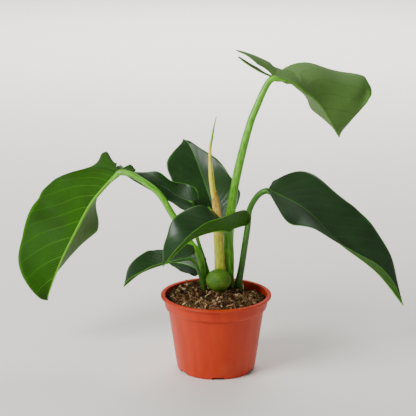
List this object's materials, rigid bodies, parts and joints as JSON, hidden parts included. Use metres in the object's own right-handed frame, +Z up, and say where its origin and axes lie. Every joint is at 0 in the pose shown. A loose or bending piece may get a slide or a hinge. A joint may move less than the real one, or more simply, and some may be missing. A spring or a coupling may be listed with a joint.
{
  "type": "potted philodendron",
  "caption": "Young philodendron with heart-shaped leaves on long stalks and a rolled new leaf, in a small plastic nursery pot.",
  "frame": {"origin": "middle of the pot's underside, at the level it stands on", "axes": "+Z up; +X to the right and +Y to the back, as the plant is seen from the front; X is the widest way across the leaves"},
  "size_m": [0.4585, 0.2461, 0.3685],
  "materials": {
    "pot_plastic": "satin",
    "bark_mix": "matte",
    "bulb_skin": "satin",
    "young_leaf": "satin",
    "sheath": "satin",
    "leaf_blade": "satin",
    "leaf_stalk": "satin"
  },
  "bodies": {
    "root": {"pot": "pot_plastic", "soil": "bark_mix", "stem_base": "bulb_skin", "new_leaf": "young_leaf", "new_leaf_sheath": "sheath", "leaf_left_blade": "leaf_blade", "leaf_left_stalk": "leaf_stalk", "leaf_behind_left_blade": "leaf_blade", "leaf_behind_left_stalk": "leaf_stalk", "leaf_back_blade": "leaf_blade", "leaf_back_stalk": "leaf_stalk", "leaf_front_blade": "leaf_blade", "leaf_front_stalk": "leaf_stalk", "leaf_low_left_blade": "leaf_blade", "leaf_low_left_stalk": "leaf_stalk", "leaf_low_back_blade": "leaf_blade", "leaf_low_back_stalk": "leaf_stalk", "leaf_right_blade": "leaf_blade", "leaf_right_stalk": "leaf_stalk", "leaf_top_blade": "leaf_blade", "leaf_top_stalk": "leaf_stalk"}
  },
  "joints": []
}
